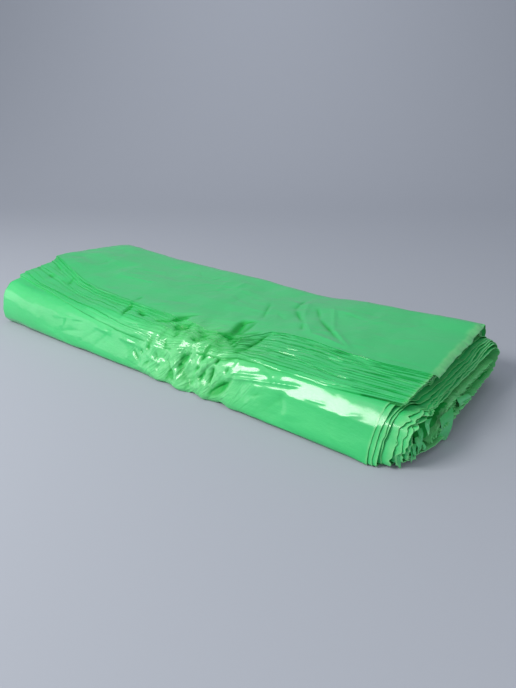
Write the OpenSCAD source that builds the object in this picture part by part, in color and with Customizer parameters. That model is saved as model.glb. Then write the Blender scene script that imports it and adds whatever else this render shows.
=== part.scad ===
// Flattened roll of storage bags. Fifty thin film bags lie on one another, are folded in half
// across their length and are wound together into a flat roll of two and a half turns.
// Millimetres. X runs along the roll, from the folded end to the open end, Y from the front bend
// to the back bend, and Z up from the face that the roll lies on.

/* [Roll] */
// Length from the folded end to the cut end of the outermost layer
roll_l = 545; // [300:5:900]
// Distance between the middles of the front and back bends
core_w = 197; // [120:1:400]
// Height that each turn takes up
turn_h = 12; // [8:0.5:20]
// Clearance between one turn and the next
turn_gap = 0.8; // [0.4:0.1:1.5]

/* [Free edge] */
// Distance from the middle of the front bend back to the lowest layer's free edge
edge_inset = 7; // [0:1:40]
// Width of the band over which the free edges are staggered
edge_band = 51; // [20:1:90]
// Distance from the middle of the front bend to the inner end of the bags
inner_end = 188; // [60:1:190]

/* [Open end] */
// Number of bunches of layers that stand apart at the open end
bunches = 5; // [3:1:7]
// Width of the slot between two bunches
slot_w = 0.7; // [0.4:0.1:1]
// How far the slots reach in past the cut end of the outermost layer
slot_depth = 18; // [6:1:40]
// How far the innermost turn stands out past the outermost layer
telescope = 43; // [10:1:80]
// How far the inner turn sags at the open end
mouth_sag = 4; // [0:0.5:6]

/* [Shape] */
// How far the folded end bulges out at mid width
fold_bulge = 22; // [0:1:30]
// Extra height of the folded end
fold_rise = 13; // [0:0.5:16]
// How far the front bend leans back over its foot at the open end
front_lean = 25; // [0:1:30]
// How far it leans back at the folded end
fold_lean = 12; // [0:1:30]
// How far the foot of the front bend is pressed forward
front_foot = 10; // [0:1:12]
// Depth of the squeezed waist
waist_dip = 5; // [0:0.5:9]
// Distance from the open end back to the waist
waist_from_end = 208; // [120:1:260]
// Half-length of the waist along the roll
waist_reach = 60; // [30:1:100]
// Depth of the soft gathers at the waist
gather = 2.2; // [0:0.1:3]

/* [Hidden] */

film_green = [0.33, 0.78, 0.47];

// The wall is the whole stack of bags, and one turn is one wall
wall = turn_h - turn_gap;
roll_h = 4 * turn_h + wall;
front_r = 1.5 * turn_h + wall / 2;
back_r = 2 * turn_h + wall / 2;

// Height above which the front bend's lean no longer grows, and how far back it fades out
lean_height = 32;
lean_reach = 70;
function lean_up(z, lean) = lean * sin(90 * min(1, z / lean_height)) - front_foot;

// How far the leaning front bend stands out in front of its middle
front_out = max([for (a = [0:2:180], lean = [front_lean, fold_lean])
    front_r * sin(a) - lean_up(front_r * (1 - cos(a)), lean)]);
roll_w = front_out + core_w + back_r;
front_y = front_out - roll_w / 2;
back_y = front_y + core_w;
front_z = wall / 2 + 1.5 * turn_h;
back_z = wall / 2 + 2 * turn_h;
fold_x = fold_bulge - (roll_l + telescope + fold_bulge) / 2;
cut_x = fold_x + roll_l;
slot_x = cut_x - slot_depth;
waist_x = cut_x - waist_from_end;

// Reach of the raised folded end and of the sagging mouth along the roll
rise_reach = 90;
sag_reach = 60;

// Facets of the bends, of the flat passes and of the folded end
bend_steps = 10;
pass_steps = 5;
fold_steps = 5;

// Where the layers of each turn end, past the outermost layer at the front bend, as shares of
// the telescope. One entry for each bend and end met along the winding, from the free edge in
out_share = [0.58, 0.46, 0, 0.3, 0.5, 0.72];
in_share = [0.42, 0.66, 0.72, 0.84, 0.86, 1];

function lerp(a, b, t) = a + (b - a) * t;
function smooth(t) = let (c = min(1, max(0, t))) c * c * (3 - 2 * c);
function bell(d, reach) = exp(-pow(d / reach, 2));

// One stop on the winding: [y, z, outward y, outward z, turns passed, share of the wall there]
function pass_stops(y0, y1, z, up, turn0, n, turned = 0.8) =
    [for (i = [1:n]) [lerp(y0, y1, i / n), z, 0, up, turn0 + turned * i / n, 1]];
function bend_stops(y, z, r, a0, a1, turn0, n) =
    [for (i = [1:n])
        let (a = lerp(a0, a1, i / n))
        [y + r * cos(a), z + r * sin(a), cos(a), sin(a), turn0 + 0.2 * i / n, 1]];

// The free edges step down towards the front, one bunch at a time
step_w = edge_band / (bunches - 1);
step_run = 0.4;
edge_stops =
    [for (i = [0:bunches - 1], side = [0, 1])
        let (
            y = front_y + edge_inset + i * step_w,
            y_at = side == 0 ? y : y + step_w - step_run,
            last = i == bunches - 1 && side == 1
        )
        if (!last) [y_at, roll_h - wall / 2, 0, 1, 0, (i + 1) / bunches]];
band_back = front_y + edge_inset + edge_band;

stops = concat(
    edge_stops,
    pass_stops(band_back, back_y, roll_h - wall / 2, 1, 0, pass_steps),
    bend_stops(back_y, back_z, 2 * turn_h, 90, -90, 0.8, bend_steps),
    pass_stops(back_y, front_y, wall / 2, -1, 1, pass_steps),
    bend_stops(front_y, front_z, 1.5 * turn_h, -90, -270, 1.8, bend_steps),
    pass_stops(front_y, back_y, wall / 2 + 3 * turn_h, 1, 2, pass_steps),
    bend_stops(back_y, back_z, turn_h, 90, -90, 2.8, bend_steps),
    pass_stops(back_y, front_y, wall / 2 + turn_h, -1, 3, pass_steps),
    bend_stops(front_y, front_z, 0.5 * turn_h, -90, -270, 3.8, bend_steps),
    pass_stops(front_y, front_y + inner_end, wall / 2 + 2 * turn_h, 1, 4, pass_steps, 1)
);

// How far past the outermost layer's cut end a layer reaches, at depth 0 (outside) to 1 (inside)
function reach_at(turns, depth) =
    let (i = min(4, floor(turns)), t = turns - i)
    telescope * lerp(
        lerp(out_share[i], out_share[i + 1], t),
        lerp(in_share[i], in_share[i + 1], t),
        depth
    );

// Fold line of the stack at a given place across the roll
function fold_at(y) = fold_x - fold_bulge * max(0, 1 - pow(2 * y / roll_w, 2));

// Outline of the wall along the roll at one stop, as [x, share of the wall from inside to outside]
waist_share = (waist_x - fold_x) / (slot_x - fold_x);
body_shares = concat(
    [0, 0.04, 0.09, 0.16, 0.24, 0.33, 0.43],
    [for (i = [-7:7]) waist_share + i * 0.017],
    [0.84, 0.92, 1]
);
function wall_outline(stop) =
    let (
        y = stop[0],
        nose = wall / 2,
        x0 = fold_at(y) + nose,
        bunch = 1 / bunches,
        slot = slot_w / wall
    )
    concat(
        [for (u = body_shares) [lerp(x0, slot_x, u), 1]],
        [for (k = [0:bunches - 1], corner = [0:3])
            let (
                top = 1 - k * bunch,
                low = k == bunches - 1 ? 0 : 1 - (k + 1) * bunch + slot,
                tip = cut_x + reach_at(stop[4], k / (bunches - 1)),
                inward = corner == 0 || corner == 3
            )
            if (!(k == 0 && corner == 0) && !(k == bunches - 1 && corner == 3))
                [inward ? slot_x : tip, corner < 2 ? top : low]],
        [for (i = [len(body_shares) - 1:-1:0]) [lerp(x0, slot_x, body_shares[i]), 0]],
        [for (i = [1:fold_steps - 1])
            let (a = 180 * i / fold_steps)
            [x0 - nose * sin(a), (1 - cos(a)) / 2]]
    );

// The waist is gathered into soft folds that run askew
gather_len = 36;
function gather_at(x, skew) =
    gather * sin(360 * (x - waist_x) / gather_len + skew) * bell(x - waist_x, waist_reach);

// The stack is higher at the folded end, dips at the waist and sags at the mouth
function height_at(x, y, z, turns) =
    let (
        crown = max(0, 1 - pow(2 * y / roll_w, 2)),
        rise = fold_rise * bell(x - fold_x, rise_reach) * (0.35 + 0.65 * crown),
        dip = waist_dip * bell(x - waist_x, waist_reach),
        above = turns < 0.8 || (turns > 1.99 && turns < 2.8),
        share = above ? 0 : 1 - smooth((z / roll_h - 0.25) / 0.42),
        inside = turns >= 2.99 || (turns > 0.99 && turns < 1.81) ? 1 : share,
        sag = mouth_sag * smooth((x - cut_x + sag_reach) / sag_reach) * inside,
        band = 1 - smooth((y - front_y - 10) / 70),
        soft = 0.7 * gather_at(x, 5 * roll_h + 3 * (y - front_y)) * band
    )
    z * (1 + (rise - dip + soft) / roll_h - sag / (3 * turn_h));

// The front bend has slumped: its foot is pressed forward and its face leans back
function lean_at(x, y, z, turns) =
    let (
        near = turns < 0.8 ? 0 : 1 - smooth((y - front_y) / lean_reach),
        lean = lerp(fold_lean, front_lean, smooth((x - fold_x) / (0.55 * roll_l)))
    )
    near * (lean_up(z, lean) + gather_at(x, 5 * z));

function place(stop, at) =
    let (
        out = (stop[5] * at[1] - 0.5) * wall,
        y = stop[0] + out * stop[2],
        z = stop[1] + out * stop[3]
    )
    [at[0], y + lean_at(at[0], y, z, stop[4]), height_at(at[0], y, z, stop[4])];

module wound_wall() {
    rings = [for (s = stops) let (o = wall_outline(s)) [for (at = o) place(s, at)]];
    n = len(rings[0]);
    m = len(rings);
    points = [for (r = rings) each r];
    sides = [for (i = [0:m - 2], j = [0:n - 1])
        let (k = (j + 1) % n)
        each [[i * n + j, (i + 1) * n + j, (i + 1) * n + k], [i * n + j, (i + 1) * n + k, i * n + k]]];
    first = [for (j = [0:n - 1]) j];
    last = [for (j = [n - 1:-1:0]) (m - 1) * n + j];
    polyhedron(points = points, faces = concat(sides, [first], [last]), convexity = 20);
}

module bag_roll() {
    color(film_green) wound_wall();
}

bag_roll();
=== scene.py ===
# %% [markdown]
# # A flattened roll of film bags
# Thin bags lie on one another, are folded in half and are wound into a flat roll. The roll is one
# soft block, so the CAD part is one swept wall. Here the same wall is swept again, much finer,
# with its single leaves, its feathered free edge, its crushed waist and the sheen of the film.
# A cloth simulation could crumple it too, but the creases had to lie at known places, so every
# dent is a move of the sheet's points, worked out with arrays.

# %% Load the frame
import math
from types import SimpleNamespace
import bmesh
import bpy
import numpy as np
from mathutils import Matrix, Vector
from mathutils.kdtree import KDTree


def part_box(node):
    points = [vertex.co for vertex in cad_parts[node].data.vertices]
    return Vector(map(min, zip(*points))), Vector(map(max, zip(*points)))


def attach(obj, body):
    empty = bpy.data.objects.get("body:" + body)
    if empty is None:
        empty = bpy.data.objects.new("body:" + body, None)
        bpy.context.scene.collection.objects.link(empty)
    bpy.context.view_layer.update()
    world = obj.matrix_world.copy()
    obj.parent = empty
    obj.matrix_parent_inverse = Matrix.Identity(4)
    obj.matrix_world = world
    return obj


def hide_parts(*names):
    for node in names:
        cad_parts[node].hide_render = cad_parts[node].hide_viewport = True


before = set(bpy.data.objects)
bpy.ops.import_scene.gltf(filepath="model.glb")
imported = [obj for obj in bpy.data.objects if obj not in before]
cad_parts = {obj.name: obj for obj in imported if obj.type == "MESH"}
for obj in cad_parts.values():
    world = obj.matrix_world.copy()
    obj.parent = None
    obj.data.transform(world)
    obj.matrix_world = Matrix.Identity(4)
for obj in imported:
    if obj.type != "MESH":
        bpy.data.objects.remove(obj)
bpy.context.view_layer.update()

part_low, part_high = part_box("bag_roll")
for corner in (part_low, part_high):
    print("corner of the frame's box in mm:", [round(1000 * v, 1) for v in corner])

# %% [markdown]
# ## Sizes of the roll
# The sizes are the CAD part's own, in millimetres, so the fine wall lies where the plain one
# lies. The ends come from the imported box. One turn is one wall: all the bags, with their air.

# %% Sizes
MM = 0.001
TURN = 12.0
WALL = 11.2
ROLL_H = 4 * TURN + WALL
ROLL_L = 545.0
CORE = 197.0
INNER_END = 188.0
TELESCOPE = 43.0
FOLD_BULGE = 22.0
FOLD_RISE = 13.0
WAIST_FROM_CUT = 208.0
WAIST_DIP = 5.0
FRONT_LEAN = 25.0
FOLD_LEAN = 12.0
FRONT_FOOT = 10.0
MOUTH_SAG = 4.0

cut_x = part_high[0] / MM - TELESCOPE
fold_x = cut_x - ROLL_L
back_y = part_high[1] / MM - (2 * TURN + WALL / 2)
front_y = back_y - CORE
waist_x = cut_x - WAIST_FROM_CUT
front_z = WALL / 2 + 1.5 * TURN
back_z = WALL / 2 + 2 * TURN
roll_w = 2 * (part_high[1] / MM)
print("cut end %.1f, fold %.1f, front bend %.1f, back bend %.1f" % (cut_x, fold_x, front_y, back_y))

# %% [markdown]
# ## Small curves that everything uses
# Film never breaks off sharply where it bends, so most changes are eased in and out. `drift` is a
# smooth random wave from a seeded table: it gives the same wander on every run. `facets` adds
# zigzag waves in many directions, which leaves flat plates between sharp ridges, as crushed
# film has.

# %% Helpers
def lerp(a, b, t):
    return a + (b - a) * t


def ease(t):
    t = np.clip(t, 0.0, 1.0)
    return t * t * (3 - 2 * t)


def bell(d, reach):
    return np.exp(-((d / reach) ** 2))


def drift(a, b, seed):
    """A smooth random wander from -1 to 1, one wave per unit of a and of b."""
    table = np.random.default_rng(seed).uniform(-1, 1, (64, 64))
    a, b = np.broadcast_arrays(np.asarray(a, float), np.asarray(b, float))
    ia, ib = np.floor(a).astype(int), np.floor(b).astype(int)
    fa, fb = ease(a - ia), ease(b - ib)
    here = lerp(table[ia % 64, ib % 64], table[(ia + 1) % 64, ib % 64], fa)
    there = lerp(table[ia % 64, (ib + 1) % 64], table[(ia + 1) % 64, (ib + 1) % 64], fa)
    return lerp(here, there, fb)


def facets(a, b, wave, seed, folds=6):
    """Flat plates and sharp ridges, about -1 to 1, with plates about one wave wide."""
    rng = np.random.default_rng(seed)
    a2 = a + 0.5 * wave * drift(a / wave / 1.7, b / wave / 1.7, seed + 1)
    b2 = b + 0.5 * wave * drift(a / wave / 1.7, b / wave / 1.7, seed + 2)
    total = 0.0
    for _ in range(folds):
        turn, size, start = rng.uniform(0, math.pi), rng.uniform(0.7, 1.6), rng.uniform(0, 2)
        d = (a2 * math.cos(turn) + b2 * math.sin(turn)) / (wave * size) + start
        total = total + np.abs(d % 2 - 1) * 2 - 1
    return total / math.sqrt(folds)


# %% [markdown]
# ## The free edge
# The last metre of each bag ends on top of the roll. The bags' edges aren't flush: each lies a
# little further back than the one below it, so they make a feathered band along the roll. The
# band's front and back lines aren't straight either. They are measured along the roll and given
# as a few stations; between them the line is interpolated.

# %% The band's two lines
BAND_X = [-310, -270, -230, -190, -150, -100, -60, 0, 60, 92, 107, 125, 160, 200, 240, 290]
BAND_FRONT = [14, 11, 7, 1, -3, -7, -7, -5, 0, 4, 6, 7, 7, 7, 9, 15]
BAND_BACK = [82, 68, 55, 45, 37, 33, 31, 29, 29, 34, 61, 62, 60, 54, 55, 64]
LEDGES = 24
even_widths = np.random.default_rng(21).uniform(0.25, 1.6, LEDGES) ** 1.7
bunched_widths = np.random.default_rng(28).uniform(0.12, 1.6, LEDGES) ** 3.2


def band_front(x):
    return front_y + np.interp(x, BAND_X, BAND_FRONT) + 1.2 * drift(x / 42, 0.3, 11)


def band_back(x):
    return front_y + np.interp(x, BAND_X, BAND_BACK) + 2.0 * drift(x / 50, 0.7, 12)


def ledge_share(x, k):
    """How far across the band the edge of ledge k lies, at each x. The gaps stay positive."""
    right = ease((x + 90) / 130)
    widths = [lerp(bunched_widths[n], even_widths[n], right) for n in range(1, LEDGES)]
    gaps = [width * (1 + 0.85 * drift(x / 58, n * 1.37, 22)) for n, width in enumerate(widths)]
    fringe = 0.006 * drift(x / 7, k * 2.1, 23) * (0 < k < LEDGES - 1)
    return sum(gaps[:k]) / sum(gaps) + fringe


# %% [markdown]
# ## Stops along the winding
# The wall is swept along the flattened spiral, so first come the stops: where the middle of the
# wall is, which way is outward, and how many turns have gone by. `u` is the way along the
# outer skin, so that a fold runs on from one turn to the one that lies beneath its edge, and
# each WRAP is the length of skin round one bend. In the band each edge has four stops: its foot,
# its face, its lip and the flat behind it. Flat stretches that nothing shows need few stops, the
# front bend and the band need many.

# %% Stops
BAND_START, BAND_WIDE, BAND_END = 7, 50, 58
BACK_WRAP, FRONT_WRAP, INNER_BACK_WRAP, INNER_FRONT_WRAP = 93, 74, 55, 37
FOOT, FACE, EDGE_LIP, BEHIND = 1.3, 0.01, 0.12, 0.5

stops = []
top_z = ROLL_H - WALL / 2


def stop(y, z, ny, nz, turns, u=None, share=1.0, outer=None, at=-1.0, lip=0.0, top=-1.0):
    outer = share if outer is None else outer
    u = y if u is None else u
    place = dict(y=y, z=z, ny=ny, nz=nz, turns=turns, u=u)
    stops.append(dict(place, share=share, outer=outer, at=at, lip=lip, top=top))


def flat_pass(y0, y1, z, up, turns0, turned, shares, u0=None):
    for t in shares:
        u = None if u0 is None else u0 - abs(y1 - y0) * t
        stop(lerp(y0, y1, t), z, 0, up, turns0 + turned * t, u)


def bend(y, z, r, a0, a1, turns0, n, u0, u1):
    for i in range(1, n + 1):
        a = math.radians(lerp(a0, a1, i / n))
        ny, nz = math.cos(a), math.sin(a)
        stop(y + r * ny, z + r * nz, ny, nz, turns0 + 0.2 * i / n, lerp(u0, u1, i / n))


def parts(n, lo=0.0, hi=1.0):
    return [lerp(lo, hi, i / n) for i in range(1, n + 1)]


for k in range(LEDGES):
    low, full = (k + 2) / (LEDGES + 2) * (k > 0), (k + 3) / (LEDGES + 2)
    y_mid, turned = front_y + BAND_START + BAND_WIDE * k / LEDGES, 0.2 * k / LEDGES
    if k:
        stop(y_mid, top_z, 0, 1, turned, share=low, outer=low, at=k, lip=FOOT)
        step = lerp(low, full, 0.35)
        stop(y_mid, top_z, 0, 1, turned, share=low, outer=step, at=k, lip=FACE)
    stop(y_mid, top_z, 0, 1, turned, share=full, at=k, lip=EDGE_LIP)
    if k < LEDGES - 1:
        stop(y_mid + 1, top_z, 0, 1, turned, share=full, at=k + 0.72, lip=BEHIND)
for t in parts(84):
    stop(lerp(front_y + BAND_END, back_y, t), top_z, 0, 1, 0.2 + 0.6 * t, top=t)
end_top = len(stops) - 1
bend(back_y, back_z, 2 * TURN, 90, -90, 0.8, 26, back_y, back_y + BACK_WRAP)
flat_pass(back_y, front_y, WALL / 2, -1, 1, 0.8, parts(12, 0, 0.9), back_y + BACK_WRAP)
end_bottom = len(stops) - 1
flat_pass(back_y, front_y, WALL / 2, -1, 1, 0.8, parts(9, 0.9, 1), front_y - FRONT_WRAP + CORE)
bend(front_y, front_z, 1.5 * TURN, -90, -270, 1.8, 70, front_y - FRONT_WRAP, front_y)
flat_pass(front_y, back_y, WALL / 2 + 3 * TURN, 1, 2, 0.8, parts(20, 0, 0.15))
end_front = len(stops) - 1
flat_pass(front_y, back_y, WALL / 2 + 3 * TURN, 1, 2, 0.8, parts(72, 0.15, 1))
bend(back_y, back_z, TURN, 90, -90, 2.8, 12, back_y, back_y + INNER_BACK_WRAP)
flat_pass(back_y, front_y, WALL / 2 + TURN, -1, 3, 0.8, parts(60))
bend(front_y, front_z, 0.5 * TURN, -90, -270, 3.8, 18, front_y - INNER_FRONT_WRAP, front_y)
flat_pass(front_y, front_y + INNER_END, WALL / 2 + 2 * TURN, 1, 4, 1.0, parts(60))
strides = [math.hypot(b["y"] - a["y"], b["z"] - a["z"]) for a, b in zip(stops, stops[1:])]
run_of = np.cumsum([0] + strides)
print("stops along the winding: %d, over %.0f mm" % (len(stops), run_of[-1]))

# %% [markdown]
# ## The outline of the wall at one stop
# Seen from the front, the wall is a long bar: rounded at the left, where the bags are folded, and
# split into leaves at the right, where they end. A ring of points goes round that outline. Each
# point has a share of the way along, a height in the wall from 0 inside to 1 outside, and the
# leaf that it belongs to. The ring is finest at the waist, where the film is crushed. Two marks
# stand in place of a share: COVERED is just under the leaf above, SHOWN is just past its end.

# %% Columns of the ring
LEAVES = 8
COVERED, SHOWN = 2, 3
CRUSHED_X = (-64, 114)
PLAIN_X = (-40, 110)
NOSE_STEPS = 6
LEAF = 0.5 / WALL
STEP = (1 - LEAF) / (LEAVES - 1)
slot_x = cut_x - 22.0
nose = WALL / 2
body_start = fold_x + nose


def spaced(lo, hi, gap):
    n = max(1, round((hi - lo) / gap))
    return [lo + (hi - lo) * i / n for i in range(n)]


def ring_of(left, waist, right, hidden, tip_points):
    def share_of(x):
        return (x - body_start) / (slot_x - body_start)

    seen = spaced(body_start, CRUSHED_X[0], left) + spaced(*CRUSHED_X, waist)
    seen += spaced(CRUSHED_X[1], slot_x, right)
    unseen = spaced(body_start, PLAIN_X[0], 4 * hidden) + spaced(*PLAIN_X, hidden)
    unseen += spaced(PLAIN_X[1], slot_x, 4 * hidden)
    ring = [("outer", share_of(x), 1.0, 0) for x in seen]
    ring += [("leaf", v, 1.0, 0) for v in tip_points]
    for k in range(LEAVES):
        top, low = 1 - k * STEP, 1 - k * STEP - LEAF
        if k:
            ring += [("leaf", v, top, k) for v in (0, COVERED, SHOWN, 0.975)]
        ring += [("leaf", 1, top, k), ("leaf", 1, low, k)]
        if k < LEAVES - 1:
            under = (0.97, 0.88, 0.75, 0.6, 0.3, 0) if k == 0 else (0.97, 0.6, 0)
            ring += [("leaf", v, low, k) for v in under]
    ring.append(("leaf", 0.5, 0.0, LEAVES - 1))
    ring += [("inner", share_of(x), 0.0, LEAVES - 1) for x in reversed(unseen)]
    for i in range(1, NOSE_STEPS):
        a = math.pi * i / NOSE_STEPS
        ring.append(("nose", math.sin(a), (1 - math.cos(a)) / 2, 0))
    return ring


# %% [markdown]
# ## Where each leaf ends
# At the open end the turns have slid past one another. The table gives how far each of eight
# leaves stands out past the cut end, from the outside of the wall to its inside, at some places
# along the winding, counted in turns. Real ends are also a little ragged, most of all above the
# front bend, where the film is torn.

# %% Leaf ends
TIPS = {
    0.00: [15, 15, 15, 14, 14, 14, 13, 13],
    0.19: [20, 19, 18, 18, 17, 17, 16, 16],
    0.20: [24, 20, 19, 19, 18, 18, 17, 17],
    0.50: [21, 16, 15, 15, 14, 14, 13, 13],
    0.80: [20, 14, 13, 14, 14, 14, 13, 13],
    1.00: [14, 15, 17, 19, 21, 23, 25, 27],
    1.30: [12, 15, 18, 22, 26, 29, 31, 33],
    1.45: [8, 12, 16, 21, 26, 30, 33, 35],
    1.58: [5, 10, 14, 20, 27, 32, 37, 40],
    1.66: [3, 8, 12, 17, 24, 30, 35, 38],
    1.74: [1, 6, 10, 14, 20, 25, 29, 32],
    1.80: [0, 5, 8.5, 11, 18.5, 22, 26, 28],
    1.90: [0, 4.5, 8, 10, 18.5, 23, 27, 29],
    2.00: [3, 8, 11, 13, 22, 26, 28, 30],
    2.09: [4, 10, 14, 17, 26, 28.5, 30, 31.5],
    2.20: [6, 12, 18, 23, 26, 28, 30, 31.5],
    2.40: [9, 15, 21, 24, 26, 28, 30, 31.5],
    2.72: [11, 17, 22, 25, 27, 29, 31, 33],
    2.80: [16, 21, 25, 28, 30, 32, 34, 36],
    2.88: [22, 26, 29, 31, 33, 36, 38, 41],
    3.00: [24, 27, 30, 32, 34, 36, 38, 40],
    3.40: [30, 32, 34, 36, 38, 39, 41, 42],
    3.80: [34, 35, 36, 37, 38, 39, 40, 41],
    4.00: [36, 36, 36, 36.5, 37, 37, 37.5, 38],
    4.50: [36, 36, 35, 35, 34, 34, 33, 33],
    5.00: [39, 38, 37, 37, 36, 36, 35, 35],
}


def tip_x(turns, k, at, along_run):
    places = list(TIPS)
    reach = np.zeros(np.broadcast(turns, k).shape)
    for n in range(LEAVES):
        out = np.interp(turns[:, 0], places, [TIPS[p][n] for p in places])[:, None]
        reach = np.where(k == n, out, reach)
    ragged = 0.8 * drift(along_run / 17, k * 3.1 + 0.4, 31)
    ragged = ragged + 0.6 * drift(along_run / 5, k * 5.3 + 0.2, 32)
    torn = np.where(k >= 4, 1, 0.1) * bell(turns - 1.98, 0.2)
    rips = 2.8 * drift(along_run / 3.3, k * 1.9, 34) + 2.2 * drift(along_run / 7.5, k * 2.7, 36)
    ragged = ragged + torn * rips
    ragged = ragged + (turns > 2.9) * 1.4 * drift(along_run / 3.1, k * 1.3, 37)
    stairs = np.where(at >= 0, 1.3 * drift(np.floor(at) * 0.77, 0.5, 35), 0)
    return cut_x + reach + ragged + stairs


def fan(k, along_run):
    """Heights of the leaves' outer faces where they stand apart. They never cross."""
    waves = [0.5 + 0.5 * drift(along_run / 19, n * 2.3, 33) for n in range(LEAVES - 1)]
    gaps = [0.22 + 1.5 * wave**2 for wave in waves]
    total = sum(gaps)
    tops = np.ones(np.broadcast(along_run, k).shape)
    for n in range(1, LEAVES):
        tops = np.where(k == n, 1 - (1 - LEAF) * sum(gaps[:n]) / total, tops)
    return tops


# %% [markdown]
# ## The roll's large shape
# The heap of film isn't an even spiral. The folded end is higher, the waist is squeezed, the
# front bend has slumped so that its face leans back, and the inner turn sags at the open end.
# These are the CAD part's own warps, written again. At the open end the inner turn is also
# drawn back, which opens a dark hollow behind the outer front bend, and the free edge follows
# the slumped bend down.

# %% Large shape
EDGE_ROUND, EDGE_OVERHANG = 24, 22.5


def gather(x, skew):
    return 2.2 * np.sin(np.radians(360 * (x - waist_x) / 36 + skew)) * bell(x - waist_x, 60)


def warp(X, Y, Z, turns):
    crown = np.maximum(0, 1 - (2 * Y / roll_w) ** 2)
    rise = FOLD_RISE * bell(X - fold_x, 90) * (0.35 + 0.65 * crown)
    rise = rise + 3.0 * bell(X - fold_x + 6, 26) * bell(Y - front_y - 14, 40)
    dip = WAIST_DIP * bell(X - waist_x, 60) + 2.6 * bell(X - 96, 30) * ease((Y - 50) / 60)
    above = (turns < 0.8) | ((turns > 1.99) & (turns < 2.8))
    inside = (turns >= 2.99) | ((turns > 0.99) & (turns < 1.81))
    sag_share = np.where(above, 0, 1 - ease((Z / ROLL_H - 0.25) / 0.42))
    sag = MOUTH_SAG * ease((X - cut_x + 60) / 60) * np.where(inside, 1, sag_share)
    band = 1 - ease((Y - front_y - 10) / 70)
    soft = 0.7 * gather(X, 5 * ROLL_H + 3 * (Y - front_y)) * band
    grow = 1 + (rise - dip + soft) / ROLL_H - sag / (3 * TURN)

    lean = lerp(FOLD_LEAN, FRONT_LEAN, ease((X - fold_x) / (0.55 * ROLL_L)))
    near = np.where(turns < 0.8, 0, 1 - ease((Y - front_y) / 70))
    shift = near * (lean * np.sin(np.pi / 2 * np.minimum(1, Z / 32)) - FRONT_FOOT + gather(X, 5 * Z))
    mouth = ease((X - cut_x + 45) / 72)
    back_off = np.where(turns > 2.9, mouth * (12 + 1.3 * Z) * (1 - ease((Y - front_y) / 160)), 0)

    over = np.clip(front_y + lean - FRONT_FOOT - Y, 0, EDGE_OVERHANG)
    drop = np.where(turns < 0.8, EDGE_ROUND - np.sqrt(EDGE_ROUND**2 - over**2), 0)
    low_turns = ease((turns - 1.25) / 0.2) * (turns < 1.97)
    droop = low_turns * ease((X - slot_x) / 30) * 0.75 * (1 - ease(Z / 19))
    corner = 5.0 * ease((X - cut_x - 6) / 22) * bell(turns - 2.84, 0.14) * (turns > 2.3)
    full = 3.0 * ease((X - 190) / 70) * ease((Y - 62) / 40) * ease((Z - 20) / 30) * (turns < 1.0)
    return X, Y + shift + back_off, (Z - drop) * grow * (1 - droop) + corner + full


# %% [markdown]
# ## Sweep the outline along the winding
# The ring at every stop gives a grid of points, stops down and outline across. Arrays work out
# the whole grid at once: `s` holds the stops as columns of numbers and `c` the ring as rows, and
# a sum of the two has a value for every point. First comes each point's place along the roll.

# %% Along the roll
def rows_of(first, last):
    part = stops[first : last + 1]
    s = {key: np.array([p[key] for p in part], float)[:, None] for key in part[0]}
    s = SimpleNamespace(**s, run=run_of[first : last + 1, None])
    s.in_band, s.behind_band = s.at >= 0, s.top >= 0
    return s


def columns_of(ring):
    kind = np.array([column[0] for column in ring])
    along, height, leaf = (np.array([v[n] for v in ring], float)[None, :] for n in (1, 2, 3))
    in_leaf = kind == "leaf"
    is_outer = ((kind == "outer") | (in_leaf & (height[0] == 1)))[None, :]
    shape = dict(kind=kind, along=along, height=height, leaf=leaf)
    return SimpleNamespace(**shape, in_leaf=in_leaf, is_outer=is_outer)


def place_along(s, c):
    """Where each point lies along the roll, and where its leaf ends."""
    crown = np.maximum(0, 1 - (2 * s.y / roll_w) ** 2)
    bulge = FOLD_BULGE * crown + 4.5 * bell(s.turns - 1.9, 0.09) + 1.6 * drift(s.run / 13, 0.5, 41)
    thick = nose * np.sqrt(s.share)
    x_left = fold_x - bulge - 0.8 * drift(s.run / 4.5, 0.9, 42) + thick
    tips = tip_x(s.turns, c.leaf, s.at, s.run)
    over_tips = tip_x(s.turns, c.leaf - 1, s.at, s.run)
    X = np.where(c.kind == "nose", x_left - thick * c.along, lerp(x_left, slot_x, c.along))
    X = np.where(c.in_leaf, lerp(slot_x, tips, np.minimum(c.along, 1)), X)
    covered, shown = np.minimum(over_tips - 2.5, tips - 1.6), np.minimum(over_tips + 1.3, tips - 1.1)
    X = np.where(c.in_leaf & (c.along == COVERED), covered, X)
    X = np.where(c.in_leaf & (c.along == SHOWN), shown, X)
    return X, tips


# %% [markdown]
# Then comes its place on the spiral, which is the stop's own place and a step outward by its
# height in the wall. In the band the stops aren't straight lines: each follows the edge of its
# own bag, whose lip stands up a little and wavers.

# %% On the spiral
FLAP_DROOP = 4.0
CURLED = 8


def clear_of_waist(x):
    return 1 - 0.85 * bell(x - waist_x + 28, 75)


def place_on_spiral(s, c, X):
    share = np.where(c.is_outer, s.outer, s.share)
    apart = np.where(c.in_leaf, ease((X - slot_x) / 26), 0)
    in_wall = c.height + apart * np.where(c.in_leaf, fan(c.leaf, s.run) - (1 - c.leaf * STEP), 0)
    sunk = np.where(c.is_outer, 0, 2.4 * (1 - s.share) * (1 - c.height))
    offset = (share * in_wall - 0.5) * WALL - sunk
    return s.y + offset * s.ny, s.z + offset * s.nz


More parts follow.
